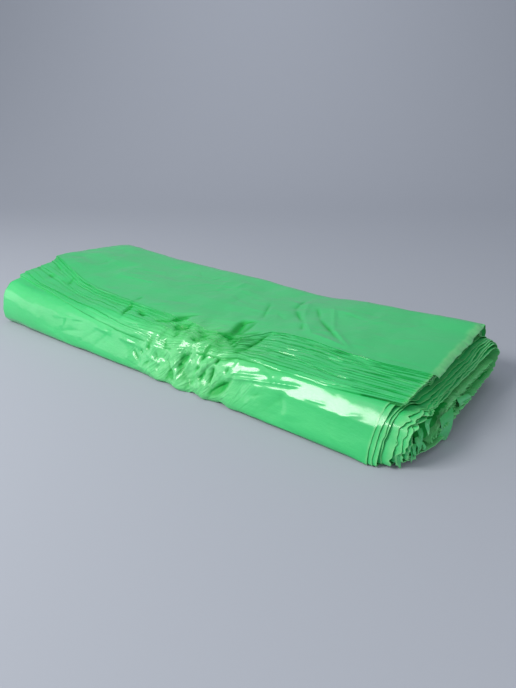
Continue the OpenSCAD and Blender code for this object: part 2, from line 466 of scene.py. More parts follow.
def follow_edges(s, c, X, Y):
    """In the band, move each stop's points to the edge that it belongs to."""
    for i in np.where(s.in_band[:, 0])[0]:
        k, x = int(s.at[i, 0]), X[i]
        here, after = ledge_share(x, k), ledge_share(x, k + 1)
        at = lerp(here, after, s.at[i, 0] - k)
        room = (after - here) * (band_back(x) - band_front(x))
        out = (1 - 0.7 * ease((x - slot_x + 10) / 20)) * np.clip(room / 2.0, 0.1, 1)
        out = out * clear_of_waist(x)
        Y[i] = lerp(band_front(x), band_back(x), at) + s.lip[i, 0] * c.is_outer[0] * out
    for i in np.where(s.behind_band[:, 0])[0]:
        Y[i] = lerp(band_back(X[i]) + 1.5, back_y, s.top[i, 0])


def edge_lift(s, c, X):
    up = np.maximum(0, drift(X / 24, s.at * 1.9, 43)) * 0.8 + 0.2 * drift(X / 8, s.at * 3.3, 44)
    up = up * lerp(0.45, 1, ease((X + 90) / 130)) * clear_of_waist(X)
    return np.where(s.in_band & c.is_outer & (s.at > 0) & (s.lip < 1), up, 0)


def flap_curl(s, c, X, tips):
    """The last millimetres of the top pass curl down over the open end, from 0 to 1."""
    flap = (s.turns > 0.195) & (s.turns < 0.82)
    return np.clip((X - (tips - CURLED)) / CURLED, 0, 1) * flap * c.in_leaf


# %% [markdown]
# Two marks go with each point, for the film's colour. The pale mark lies on rims, where only a
# leaf or two lie over the light, and it is also a painted sheen on the curled end of the top
# flap, lighter as though it caught the light. The dark mark is painted shade: it darkens the
# gaps between leaves, the feet of the band's edges, the film just past an overlying leaf's end
# and the hollows at the open end, where shade falls. Painting them would need an image, so
# they are numbers.

# %% Marks for the colour
def pale_and_sheen_mark(s, c, X, curl):
    rim = np.where(c.in_leaf & (c.along <= 1), np.clip((c.along - 0.93) / 0.07, 0, 1), 0)
    # Pale on the rims of thin leaves, and a painted sheen on the outer face of the top flap's curled end.
    pale_and_sheen = np.maximum(rim * 0.8, 0.75 * ease(curl / 0.15) * ((c.leaf == 0) & c.is_outer))
    inner_rim = 0.8 * ease((X - cut_x - 22) / 8)
    return np.maximum(pale_and_sheen, np.where(c.in_leaf & (s.turns > 2.85), inner_rim, 0))


def painted_shade_mark(s, c, X, tips):
    # All of this mark is painted shade: dark green under and between leaves and in the open end's
    # hollows, where shade falls.
    under = c.in_leaf & ~c.is_outer
    painted_shade = np.where(under & ((c.along <= 0.6) | (c.along == COVERED)), 1.0, 0) + 0 * X
    core_leaf = under & (s.turns > 3.7) & (s.turns < 4.03) & (c.along < 0.7)
    painted_shade = np.where((c.kind == "inner") | core_leaf, 1.0, painted_shade)
    # Painted shade in the hollow behind the outer front bend.
    hollow = c.is_outer & (s.turns > 3.75) & (s.turns < 4.03)
    painted_shade = np.where(hollow, 1 - ease((X - tips + 9) / 6), painted_shade)
    # Painted shade under the lip and at the foot of each edge of the band.
    edge = s.in_band & c.is_outer
    painted_shade = np.where(edge & (s.lip == FACE), 0.6 * clear_of_waist(X), painted_shade)
    painted_shade = np.where(edge & (s.lip == FOOT), 0.85 * clear_of_waist(X), painted_shade)
    # A painted contact shadow just past the end of each overlying leaf.
    tucked = np.where(c.along == COVERED, 1.0, np.where(c.along == SHOWN, 0.1, 0))
    painted_shade = np.maximum(painted_shade, np.where(c.in_leaf & c.is_outer & (c.leaf > 0), tucked, 0))
    # Painted shade over the open ends of the inner turns.
    inner_turns = lerp(0.08, 0.3, ease((s.turns - 3.5) / 0.3))
    return np.maximum(painted_shade, np.where(c.in_leaf & (s.turns > 2.05), inner_turns, 0))


# %% [markdown]
# Last, the warps bend the grid into the slumped shape. The winding is cut into four lengths, so
# that the top and the front, which are seen, can have many columns and the core only a few.

# %% Sweep
BED_SINK = 1.8


def sweep(first, last, ring):
    s, c = rows_of(first, last), columns_of(ring)
    X, tips = place_along(s, c)
    Y, Z = place_on_spiral(s, c, X)
    follow_edges(s, c, X, Y)
    U = np.where(s.in_band | s.behind_band, Y, s.u + 0 * X)
    curl = flap_curl(s, c, X, tips)
    Z = Z + edge_lift(s, c, X)
    Z = Z - FLAP_DROOP * curl**2 * np.where(c.leaf == 0, 1, 0.5)
    turns = s.turns + 0 * X
    pale_and_sheen, painted_shade = pale_and_sheen_mark(s, c, X, curl), painted_shade_mark(s, c, X, tips)

    X, Y, Z = warp(X, Y, Z, turns)
    bed = ease((Y - band_front(X) - 1) / 5) * (1 - ease((X - slot_x) / 20))
    Z = Z - BED_SINK * bed * ((turns > 1.95) & (turns < 2.85))
    normal = np.stack([0 * X, s.ny + 0 * X, s.nz + 0 * X], axis=-1)
    skin_share = np.where(c.is_outer | c.in_leaf, 1.0, 0) + 0 * X
    made = dict(P=np.stack([X, Y, Z], axis=-1), N=normal, U=U, turns=turns, outer=c.is_outer)
    return dict(made, moves=skin_share, leaf=c.in_leaf * 1.0, pale_and_sheen=pale_and_sheen, painted_shade=painted_shade)


fine = ring_of(1.9, 1.3, 1.7, 4.0, (0, 0.15, 0.3, 0.45, 0.6, 0.75, 0.82, 0.88, 0.94, 0.98))
skin = ring_of(2.0, 1.05, 1.8, 8.0, (0, 0.15, 0.3, 0.45, 0.6, 0.75, 0.9, 0.97))
same = ring_of(1.9, 1.3, 1.7, 8.0, (0, 0.15, 0.3, 0.45, 0.6, 0.75, 0.82, 0.88, 0.94, 0.98))
coarse = ring_of(9.0, 6.0, 9.0, 10.0, (0, 0.3, 0.6, 0.9, 0.97))
LENGTHS = {
    "wound_top": sweep(0, end_top, fine),
    "wound_back": sweep(end_top, end_bottom, same),
    "wound_front": sweep(end_bottom, end_front, skin),
    "wound_core": sweep(end_front, len(stops) - 1, coarse),
}


def cap_pairs(ring):
    """For each inner column, the outer column that faces it, so that a cap can be split there."""
    outer = [(v[1], c) for c, v in enumerate(ring) if v[0] == "outer"]
    inner = [(v[1], c) for c, v in enumerate(ring) if v[0] == "inner"]
    return [(c, min(outer, key=lambda pair: abs(pair[0] - along))[1]) for along, c in inner]


for length, ring in zip(LENGTHS.values(), (fine, same, skin, coarse)):
    length["pairs"] = cap_pairs(ring)
for name, length in LENGTHS.items():
    print(name, "grid of points:", length["U"].shape)

# %% [markdown]
# ## Creases
# Where the roll was gripped, the film has buckled. A crease is a short valley or ridge with a
# sharp bottom: its depth falls off evenly to both sides and eases out at its ends. A sharp fall
# is what tells a crease in film from a soft fold in cloth. Each line gives two ends near the
# surface in millimetres, a depth (ridges are negative) and a half-width.

# %% Creases
CREASES = [
    ((-69, -94, 49), (-76, -71, 52), 2.5, 3.5),
    ((-76, -71, 52), (-80, -52, 57), 1.2, 3),
    ((-60, -74, 52), (-38, -88, 50), 2.2, 3),
    ((-24, -86, 49), (-5, -79, 51), 2.5, 3.5),
    ((-5, -79, 51), (3, -59, 52), 2.8, 3.5),
    ((-1, -75, 51), (9, -62, 52), 3.0, 5),
    ((4, -82, 49), (25, -78, 50), 4.5, 5),
    ((-9, -98, 43), (-11, -111, 28), 5.0, 4.5),
    ((16, -94, 45), (21, -88, 47), 2.5, 3),
    ((40, -91, 46), (61, -82, 47), 4.0, 3),
    ((37, -80, 48), (45, -72, 47), 1.6, 3),
    ((63, -30, 54), (79, -75, 48), 6.5, 6),
    ((76, -27, 55), (86, -80, 49), 2.5, 3.5),
    ((91, -65, 52), (86, -82, 47), 2.5, 3),
    ((107, -40, 57), (104, -82, 49), 2.5, 3),
    ((67, -89, 47), (65, -105, 36), 4.0, 3),
    ((47, -96, 40), (38, -111, 26), 4.5, 3.5),
    ((38, -111, 26), (39, -115, 20), 3.5, 3),
    ((41, -101, 38), (38, -109, 29), 2.5, 3),
    ((85, -98, 41), (82, -104, 35), 4.5, 3),
    ((82, -105, 33), (83, -116, 15), 3.5, 3),
    ((22, -111, 23), (36, -120, 9), 3.5, 3.5),
    ((-32, -113, 23), (-21, -117, 14), 1.8, 3),
    ((-22, -112, 27), (-18, -113, 22), 1.8, 2.5),
    ((105, -112, 24), (86, -119, 7), 5.5, 6),
    ((73, -114, 22), (68, -116, 16), 2.5, 3),
    ((2, -109, 29), (6, -114, 20), 2.0, 2.5),
    ((49, -114, 17), (68, -109, 30), 2.0, 3),
    ((65, -94, 45), (51, -95, 41), 1.5, 4),
    ((-43, -92, 46), (-35, -95, 45), 2.5, 3),
    ((-19, -95, 45), (-12, -99, 43), 2.0, 3),
    ((67, -73, 49), (77, -69, 49), 2.0, 3),
    ((62, -38, 54), (74, -26, 55), 2.5, 4),
    ((-56, -111, 31), (-16, -111, 28), -1.6, 3),
    ((32, -104, 37), (60, -91, 47), -2.0, 4),
    ((62, -93, 47), (49, -104, 34), -1.5, 5),
    ((75, -108, 31), (82, -95, 42), -3.0, 4),
    ((82, -95, 42), (93, -94, 47), -2.2, 4),
    ((98, -108, 32), (151, -101, 42), -1.3, 2.6),
    ((100, -110, 28), (139, -106, 35), -1.8, 2.8),
    ((139, -106, 35), (183, -102, 41), -1.6, 2.8),
    ((-9, -112, 24), (17, -114, 17), -1.6, 5),
    ((50, -106, 31), (48, -112, 20), -1.8, 5),
    ((121, -87, 49), (135, -83, 49), -1.0, 3),
    ((13, -120, 6), (28, -118, 5), -1.5, 4),
    ((75, -103, 37), (75, -108, 31), -1.6, 4),
    ((65, -107, 34), (59, -110, 26), -1.5, 5),
    ((93, -92, 43), (111, -98, 43), -1.2, 3),
    ((80, 66, 55), (86, 35, 55), 1.8, 4),
    ((86, 35, 55), (121, -2, 58), 1.4, 5),
    ((121, -2, 58), (132, -22, 58), 1.4, 4),
    ((127, 22, 58), (184, -27, 59), 1.6, 5),
    ((49, 39, 54), (73, -14, 55), 1.2, 4),
    ((128, 22, 58), (107, 51, 57), 1.2, 4),
    ((123, 0, 58), (147, -25, 59), -1.3, 7),
    ((147, -25, 59), (194, -35, 59), -1.6, 8),
    ((123, 61, 58), (159, 0, 59), -1.3, 4),
    ((159, 0, 59), (195, -34, 59), -1.5, 5),
    ((55, 62, 54), (90, 48, 56), -1.2, 9),
    ((88, 64, 56), (115, 9, 57), -1.4, 6),
    ((-20, 76, 58), (-16, 45, 58), -1.2, 7),
    ((-257, -65, 64), (-242, -67, 63), 3.0, 3.5),
    ((-215, -54, 63), (-205, -72, 57), 2.2, 3),
    ((-273, -43, 70), (-250, -49, 67), 1.5, 3),
    ((-80, -53, 57), (-67, -94, 49), 2.2, 3),
    ((-56, -78, 52), (-43, -83, 50), 2.0, 3),
    ((-222, -69, 61), (-202, -70, 57), 1.4, 3),
    ((-170, -11, 62), (-111, -2, 60), -1.2, 3.5),
    ((-100, -111, 35), (-71, -111, 32), -1.2, 4),
    ((-210, 24, 66), (-172, -10, 62), -0.9, 3),
]


print("listed creases:", len(CREASES))


def crease_depth(P, a, b, depth, half):
    a, b = np.array(a, float), np.array(b, float)
    t = np.clip((P - a) @ (b - a) / ((b - a) @ (b - a)), 0, 1)
    away = np.linalg.norm(P - a - t[..., None] * (b - a), axis=-1)
    fade = np.sin(np.pi * (0.03 + 0.94 * t)) ** 0.7
    return 1.1 * depth * fade * np.exp(-((away / (0.55 * half)) ** 1.1))


# %% [markdown]
# ## Pressed plates
# A gripped roll is rounded film pressed into flat plates. Each plate is a plane that cuts a
# little off the round surface near one spot: what stands above the plane is pushed back to it,
# nearly flat, so that sheets that lie on one another stay in order, and never by more than the
# plate's limit. The gleam on the front bend at the right is one such long plate, because a flat
# face sends the light all one way, and small ones crowd at the waist.

# %% Choose the plates
PRESSED = 0.86
SWELL = 0.4
GLEAM_AT, GLEAM_WAY = (190, -104.1, 36.4), (0.005, -0.74, 0.67)
GLEAM_REACH, GLEAM_SQUASH, GLEAM_LIMIT = 72, 0.4, 9.0
SPOT_LIMIT = 1.2


def spots(length, rng, n, x_mid, x_reach, u_low, u_high, reach, depth, tilt, upright=False):
    """Random plates on one length. Near the waist they crowd, elsewhere they are spread evenly."""
    P, U = length["P"], length["U"]
    du, dv = np.gradient(P, axis=0), np.gradient(P, axis=1)
    flat = np.cross(dv, du)
    flat = flat / np.maximum(np.linalg.norm(flat, axis=-1, keepdims=True), 1e-9)
    flat = flat * np.sign(np.sum(flat * length["N"], axis=-1, keepdims=True))
    usable = length["outer"] & (U > u_low) & (U < u_high) & (P[..., 0] < slot_x)
    found = []
    for _ in range(n):
        x = x_mid + x_reach * (rng.normal(0, 0.55) if x_reach < 100 else rng.uniform(-1, 1))
        u = rng.uniform(u_low, u_high)
        far = np.where(usable, (P[..., 0] - x) ** 2 + (U - u) ** 2, 1e9)
        i, j = np.unravel_index(np.argmin(far), far.shape)
        way = np.array([0, 0, 1.0]) if upright else flat[i, j]
        way = way + rng.normal(0, tilt, 3)
        way /= np.linalg.norm(way)
        spot = P[i, j] - way * depth * rng.uniform(0.35, 1)
        found.append((spot, way, reach * rng.uniform(0.7, 1.3), 1.0, SPOT_LIMIT))
    return found


rng = np.random.default_rng(61)
front, top = LENGTHS["wound_front"], LENGTHS["wound_top"]
gleam_way = np.array(GLEAM_WAY) / np.linalg.norm(GLEAM_WAY)
PLATES = [(GLEAM_AT, gleam_way, GLEAM_REACH, GLEAM_SQUASH, GLEAM_LIMIT)]
PLATES += spots(front, rng, 14, -60, 220, front_y - 66, front_y - 16, 46, 0.8, 0.03)
PLATES += spots(top, rng, 12, -20, 250, front_y + 70, 80, 60, 0.6, 0.015, True)
PLATES += spots(front, rng, 18, waist_x - 8, 62, front_y - 66, front_y - 10, 20, 0.8, 0.1)
print("pressed plates:", len(PLATES))


def press(P, moved):
    P = P.copy()
    for spot, way, reach, squash, limit in PLATES:
        from_spot = P - np.array(spot)
        above = from_spot @ way
        away = np.linalg.norm(from_spot * np.array([squash, 1, 1]), axis=-1) / reach
        near = 1 - ease((away - 0.45) / 0.55)
        P -= way * (PRESSED * np.clip(above, 0, limit) * near * moved)[..., None]
    return P


for length in LENGTHS.values():
    turns = length["turns"]
    length["moved"] = np.where(turns < 0.8, 1.0, np.where(turns < 2.35, length["moves"], 0.0))
    across = np.where(turns < 0.8, bell(length["U"] - front_y + 4, 46), turns > 1.7)
    length["gripped"] = bell(length["P"][..., 0] - waist_x + 2, 66) * across
    swollen = SWELL * length["gripped"] * length["moved"]
    length["P"] = press(length["P"] + length["N"] * swollen[..., None], length["moved"])

# %% [markdown]
# Besides the creases that were listed, many small ones lie round the waist, and faint long lines
# are all over the film, left where it was folded and pulled. Nobody would list those by hand, so
# they are drawn from a seeded table. A crease that lies off the surface is too faint, so every
# end is put on the surface.

# %% Small creases
def nearest(length, x, u):
    far = np.where(length["outer"], (length["P"][..., 0] - x) ** 2 + (length["U"] - u) ** 2, 1e9)
    return length["P"][np.unravel_index(np.argmin(far), far.shape)]


def film_lines(length, rng, n, u_low, u_high):
    """Faint long lines all over the film, left where it was folded and pulled."""
    lines = []
    for _ in range(n):
        x, u = rng.uniform(-270, 235), rng.uniform(u_low, u_high)
        turn, size = math.radians(rng.normal(10, 45)), rng.uniform(12, 60)
        depth, half = rng.choice([-1, 1]) * rng.uniform(0.25, 0.6), rng.uniform(2.5, 5)
        u_end = u + size * math.sin(turn)
        if u_low < u_end < u_high:
            far_end = nearest(length, x + size * math.cos(turn), u_end)
            lines.append((nearest(length, x, u), far_end, depth, half))
    return lines


def fine_creases(length, rng, n, u_low, u_high):
    """Small creases round the waist. Most run up and to the right, as the film was twisted."""
    lines = []
    for _ in range(n):
        x, u = waist_x - 8 + 40 * rng.normal(), rng.uniform(u_low, u_high)
        turn, size = math.radians(rng.normal(55, 26)), rng.uniform(7, 26)
        depth = rng.uniform(0.8, 2.4) if rng.uniform() < 0.55 else -rng.uniform(0.6, 1.5)
        fade = math.exp(-(((x - waist_x + 4) / 85) ** 2))
        far_end = nearest(length, x + size * math.cos(turn), u + size * math.sin(turn))
        lines.append((nearest(length, x, u), far_end, depth * fade, rng.uniform(2.2, 4.2)))
    return lines


FINE = fine_creases(front, rng, 110, front_y - 70, front_y + 2)
FINE += fine_creases(top, rng, 50, front_y - 4, front_y + 44)
FINE += film_lines(top, rng, 80, front_y + 40, back_y - 8)
FINE += film_lines(front, rng, 50, front_y - 62, front_y - 4)
FINE = [line for line in FINE if np.linalg.norm(line[1] - line[0]) > 3]
print("small creases:", len(FINE))


def on_surface(point):
    found = []
    for length in (front, top):
        gap = np.linalg.norm(length["P"] - np.array(point, float), axis=-1)
        far = np.where(length["outer"], gap, 1e9)
        found.append((far.min(), length["P"][np.unravel_index(np.argmin(far), far.shape)]))
    return min(found, key=lambda pair: pair[0])[1]


ALL_CREASES = [(on_surface(a), on_surface(b), depth, half) for a, b, depth, half in CREASES] + FINE
ALL_CREASES = [line for line in ALL_CREASES if np.linalg.norm(line[1] - line[0]) > 2]
print("creases in all:", len(ALL_CREASES))

# %% [markdown]
# The creases and the crushed patchwork between them come next, and last the soft waves that the
# whole film has. Where the free edge lies on the turn below, both turns take the same dents, so
# neither cuts through the other. The patchwork is drawn out along one slanting line, the way
# that the film was twisted. Two more marks are made here: `crush` says how crushed the film is,
# and the bottoms of the creases get painted shade, dark green where shade falls in them.

# %% Dent the film
for name, length in LENGTHS.items():
    P, U, turns, outer = length["P"], length["U"], length["turns"], length["outer"]
    X, moved, gripped = P[..., 0], length["moved"], length["gripped"]
    crease = 0 * X
    if name != "wound_core":
        crease = sum(crease_depth(P, *line) for line in ALL_CREASES)
    long_way, cross_way = (0.55 * X + 0.83 * U) / 3.2, 0.55 * U - 0.83 * X
    crushed = gripped * (0.42 * facets(long_way, cross_way, 6, 51) + 0.2 * facets(X, U, 4.5, 52))
    calm = lerp(0.8, 0.5, ease((turns - 0.8) / 0.1)) * (1 - 0.6 * ease((X - slot_x + 12) / 12))
    soft = calm * (drift(X / 52, U / 30, 53) + 0.42 * facets(X, U, 26, 54) + 0.18 * facets(X, U, 9, 55))
    crumpled = length["leaf"] * ease((X - cut_x - 8) / 14) * ((turns > 2.85) & (turns < 4.3))
    crumpled = crumpled * (0.7 * facets(X, U, 8, 56) + 0.4 * facets(X, U, 4, 57))
    P = P - length["N"] * ((crease + crushed + soft) * moved + crumpled)[..., None]
    P[..., 2] = np.maximum(P[..., 2], 0.0)
    length["P"] = P
    length["crush"] = np.clip(1.3 * gripped * moved, 0, 1)
    # Painted shade in the bottoms of the creases, where shade falls.
    crease_shade = moved * outer * 0.95 * np.clip(crease / 1.4 - 0.15, 0, 1)
    length["painted_shade"] = np.maximum(length["painted_shade"], crease_shade)
    print(name, "deepest crease %.1f mm, highest ridge %.1f mm" % (crease.max(), -crease.min()))

# %% [markdown]
# ## Turn the points into closed meshes
# A grid operator makes each sheet, and its points are moved to their places. The two long sides
# of the sheet meet where the ring closes, so they are merged, and the first and last rings are
# capped. A cap is a long thin face that dips at the waist, and cut up carelessly it would show
# as a black line, so it is split between each inner column and the outer column that faces it.
# A loose scrap isn't a tube: its sheet gets a thickness from the solidify operator.

# %% Build the wall
SCRAP_THICK = 0.4
SHARP = math.radians(50)
FIRST, LAST = 1, 2


def split_caps(bm, end, col, pairs):
    for side in (FIRST, LAST):
        rim = {v[col]: v for v in bm.verts if v[end] == side}
        for a, b in pairs:
            shared = (f for f in rim[a].link_faces if rim[b] in f.verts[:])
            cap = next(f for f in shared if all(v[end] == side for v in f.verts))
            bmesh.utils.face_split(cap, rim[a], rim[b])


def sheet_mesh(name, P, marks, pairs=None):
    """One closed shell: a capped tube where there are pairs to split its caps, else a thin sheet."""
    rows, cols = P.shape[:2]
    if pairs:
        P = np.concatenate([P, P[:, :1]], axis=1)
        marks = {key: np.concatenate([m, m[:, :1]], axis=1) for key, m in marks.items()}
        cols += 1
    bm = bmesh.new()
    bmesh.ops.create_grid(bm, x_segments=cols - 1, y_segments=rows - 1, size=1.0)
    layers = {key: bm.verts.layers.float.new(key) for key in marks}
    end, col = bm.verts.layers.int.new("end"), bm.verts.layers.int.new("col")
    for v in bm.verts:
        j = int(round((v.co.x + 1) / 2 * (cols - 1)))
        i = int(round((v.co.y + 1) / 2 * (rows - 1)))
        v.co = P[i, j] * MM
        v[end] = FIRST if i == 0 else LAST if i == rows - 1 else 0
        v[col] = j % (cols - 1)
        for key, layer in layers.items():
            v[layer] = float(marks[key][i, j])
    if pairs:
        bmesh.ops.remove_doubles(bm, verts=bm.verts, dist=1e-7)
        bmesh.ops.holes_fill(bm, edges=[e for e in bm.edges if e.is_boundary], sides=0)
        split_caps(bm, end, col, pairs)
    else:
        bmesh.ops.solidify(bm, geom=bm.faces, thickness=SCRAP_THICK * MM)
    print(name, "open edges:", sum(e.is_boundary for e in bm.edges))
    bmesh.ops.recalc_face_normals(bm, faces=bm.faces)
    mesh = bpy.data.meshes.new(name)
    bm.to_mesh(mesh)
    bm.free()
    mesh.shade_smooth()
    mesh.set_sharp_from_angle(angle=SHARP)
    piece = bpy.data.objects.new(name, mesh)
    bpy.context.scene.collection.objects.link(piece)
    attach(piece, "root")
    return piece


pieces = []
for name, length in LENGTHS.items():
    marks = {key: length[key] for key in ("pale_and_sheen", "painted_shade", "crush")}
    marks.update(wrap_x=length["P"][..., 0] * MM, wrap_u=length["U"] * MM)
    piece = sheet_mesh(name, length["P"], marks, length["pairs"])
    pieces.append(piece)
    print(name, len(piece.data.vertices), "points,", len(piece.data.polygons), "faces")
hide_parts("bag_roll")

# %% [markdown]
# ## Loose scraps
# A few leaves of the inner turns hang loose at the open end. Each is a small bowed sheet between
# four corners: two above, where it comes out of the roll, and two below. Two larger leaves are
# listed, in millimetres, and ten narrow torn strips are drawn at random behind the front bend.
# None may hang in the air, so each is moved until its nearest point touches the roll.

# %% Scraps at the open end
STRIPS = 10
STRIP_Y = (-108, -80)
STRIP_X, STRIP_SLANT = 284.5, 0.42
NEAR_END_X = 268
SCRAP_FLOOR = 0.4

rng = np.random.default_rng(73)
SCRAPS = [
    ((298, -18, 31), (301, 5, 27), (303, 14, 17), (301, -15, 22), 1.0),
    ((298, -58, 30), (301, -36, 31), (302, -42, 2), (296, -52, 3), 2.5),
]
for n in range(STRIPS):
    y = lerp(*STRIP_Y, n / (STRIPS - 1)) + rng.uniform(-2, 2)
    x = STRIP_X + STRIP_SLANT * (y - STRIP_Y[0]) + rng.uniform(-1.5, 2)
    high, fall, wide = rng.uniform(12, 40), rng.uniform(8, 20), rng.uniform(4, 7)
    low = max(1.0, high - fall)
    a, b = (x - 3, y, high), (x - 3 + 0.5 * wide, y + 0.85 * wide, high + rng.uniform(-3, 3))
    c = (x + rng.uniform(0, 3), y + 0.6 * wide, low)
    d = (x + rng.uniform(-1, 2), y - 1, max(1.0, low + rng.uniform(-4, 4)))
    SCRAPS.append((a, b, c, d, rng.uniform(-1, 2)))
near_end = [length["P"][length["P"][..., 0] > NEAR_END_X] for length in LENGTHS.values()]
near_end = np.concatenate(near_end)
roll_points = KDTree(len(near_end))
for n, point in enumerate(near_end):
    roll_points.insert(point, n)
roll_points.balance()


def hung(P):
    """Move a scrap until the point of it that lies nearest to the roll touches the roll."""
    hits = [(roll_points.find(point), point) for point in P.reshape(-1, 3)]
    (place, _, gap), point = min(hits, key=lambda hit: hit[0][2])
    print("a scrap moves by %.2f mm" % gap)
    return P + np.array(place) - point


for n, (a, b, c, d, bow) in enumerate(SCRAPS):
    u, v = np.meshgrid(np.linspace(0, 1, 13), np.linspace(0, 1, 17))
    a, b, c, d = (np.array(corner, float) for corner in (a, b, c, d))
    P = lerp(lerp(a, b, u[..., None]), lerp(d, c, u[..., None]), v[..., None])
    P[..., 0] += bow * np.sin(np.pi * v) + 0.7 * drift(u * 3, v * 4 + n, 71)
    P[..., 2] += (u - 0.5) * 1.5 * np.sin(3 * v + n) + 2.2 * drift(u * 4 + n, 0.5, 72) * ease(v * 3 - 2)
    P = hung(P)
    P[..., 2] = np.maximum(P[..., 2], SCRAP_FLOOR)
    # The lower tip is paler; the top, where the scrap comes out of the roll, gets painted shade.
    marks = dict(pale_and_sheen=0.15 + 0.5 * ease(v * 4 - 3), painted_shade=0.75 * (1 - ease(v * 2.2)), crush=0 * u)
    marks.update(wrap_x=P[..., 0] * MM, wrap_u=P[..., 2] * MM)
    pieces.append(sheet_mesh("scrap_%02d" % n, P, marks))
print("scraps:", len(SCRAPS), "and pieces in all:", len(pieces))

# %% [markdown]
# ## The film
# High-density film is thin, a little milky and softly glossy. Its colour is nearly even, its
# edges look paler where only a leaf or two lie over the light, and fine crinkles break up the
# reflections. Light and shade are also painted into the colour: painted shade in the gaps,
# hollows and creases, and painted sheen on the crushed waist and the curled flap end. A coat over
# a rougher base gives the soft gloss, and it is left off the painted shade. The sums of the
# material's masks are written as Python sums: a small class wraps a socket, and each operator
# adds a Math node.

# %% Shader helper
class Tie:
    """A socket that takes part in Python sums: each operator adds a Math node."""

    def __init__(self, tree, socket):
        self.tree, self.socket = tree, socket

    def math(self, operation, other, swap=False):
        made = self.tree.nodes.new("ShaderNodeMath")
        made.operation = operation
        pair = (other, self) if swap else (self, other)
        for socket, value in zip(made.inputs, pair):
            if isinstance(value, Tie):
                self.tree.links.new(value.socket, socket)
            elif value is not None:
                socket.default_value = value
        return Tie(self.tree, made.outputs[0])

    def __add__(self, o):
        return self.math("ADD", o)

    def __mul__(self, o):
        return self.math("MULTIPLY", o)

    def __sub__(self, o):
        return self.math("SUBTRACT", o)

    def __rsub__(self, o):
        return self.math("SUBTRACT", o, swap=True)

    __radd__ = __add__
    __rmul__ = __mul__


def node(tree, kind, settings=None, out=0, **values):
    """Add a node, set its settings first and then its sockets, and return one output."""
    made = tree.nodes.new(kind)
    for key, value in (settings or {}).items():
        setattr(made, key, value)
    for key, value in values.items():
        socket = made.inputs[key.replace("_", " ")]
        if isinstance(value, Tie):
            tree.links.new(value.socket, socket)
        else:
            socket.default_value = value
    return Tie(tree, made.outputs[out])


def mixed(tree, share, a, b):
    """A colour between a and b. The Mix node's colour sockets are its inputs 6 and 7."""
    made = node(tree, "ShaderNodeMix", {"data_type": "RGBA"}, out=2, Factor=share)
    for n, value in zip((6, 7), (a, b)):
        if isinstance(value, Tie):
            tree.links.new(value.socket, made.socket.node.inputs[n])
        else:
            made.socket.node.inputs[n].default_value = (*value, 1)
    return made


# %% [markdown]
# The marks on the points steer the colour, and some of it is painted light. The crushed film is
# paler, partly as creased film whitens and partly as a painted sheen for the haze of its many
# small facets. The dark mark is painted shade. Sharp ridges run through the crushed film,
# slanting the way that it was twisted. Those are finer than the mesh, so they are bump: noise
# folded at its middle value, where the fold makes the sharp line.

# %% Film material
GREEN, FRESH_GREEN = (0.018, 0.485, 0.13), (0.036, 0.575, 0.17)
# The pale green is for thin rims and painted sheen, the dark green is painted shade.
PALE_AND_SHEEN_GREEN, PAINTED_SHADE_GREEN = (0.24, 0.68, 0.27), (0.0, 0.36, 0.048)
# The crushed film's share of pale green: partly whitening, partly painted sheen.
COAT, CRUSH_WHITENING_AND_SHEEN = 0.8, 0.34
RIDGES = 7.0


def mark(tree, name):
    return node(tree, "ShaderNodeAttribute", {"attribute_name": name}, out=2)


def film_colour(tree, cloudy, mottle):
    green = mixed(tree, cloudy, GREEN, FRESH_GREEN)
    # Pale on thin rims, painted sheen on the curled flap end, and paler where crushed: partly whitening,
    # partly painted sheen.
    pale_and_sheen_share = mark(tree, "pale_and_sheen") * (mottle + 0.15) + mark(tree, "crush") * CRUSH_WHITENING_AND_SHEEN
    # The dark mark mixes in painted shade.
    return mixed(tree, mark(tree, "painted_shade"), mixed(tree, pale_and_sheen_share, green, PALE_AND_SHEEN_GREEN), PAINTED_SHADE_GREEN)


def film_height(tree, place, mottle):
    crinkle = node(tree, "ShaderNodeTexNoise", Vector=place, Scale=170.0, Detail=5.0, Roughness=0.6)
    long_place = node(tree, "ShaderNodeMapping", Vector=place, Scale=(0.25, 1.0, 1.0))
    streaks = node(tree, "ShaderNodeTexNoise", Vector=long_place, Scale=260.0, Detail=4.0, Roughness=0.55)
    x, u = mark(tree, "wrap_x"), mark(tree, "wrap_u")
    twist = node(tree, "ShaderNodeCombineXYZ", X=(x * 0.55 + u * 0.83) * 0.28, Y=u * 0.55 - x * 0.83)
    ridges = node(tree, "ShaderNodeTexNoise", Vector=twist, Scale=150.0, Detail=2.0, Distortion=0.7)
    ridges = (ridges - 0.5).math("ABSOLUTE", None)
    rims = mark(tree, "pale_and_sheen") * mottle * 0.7
    return crinkle * 0.5 + streaks * 0.5 + rims + mark(tree, "crush") * ridges * RIDGES


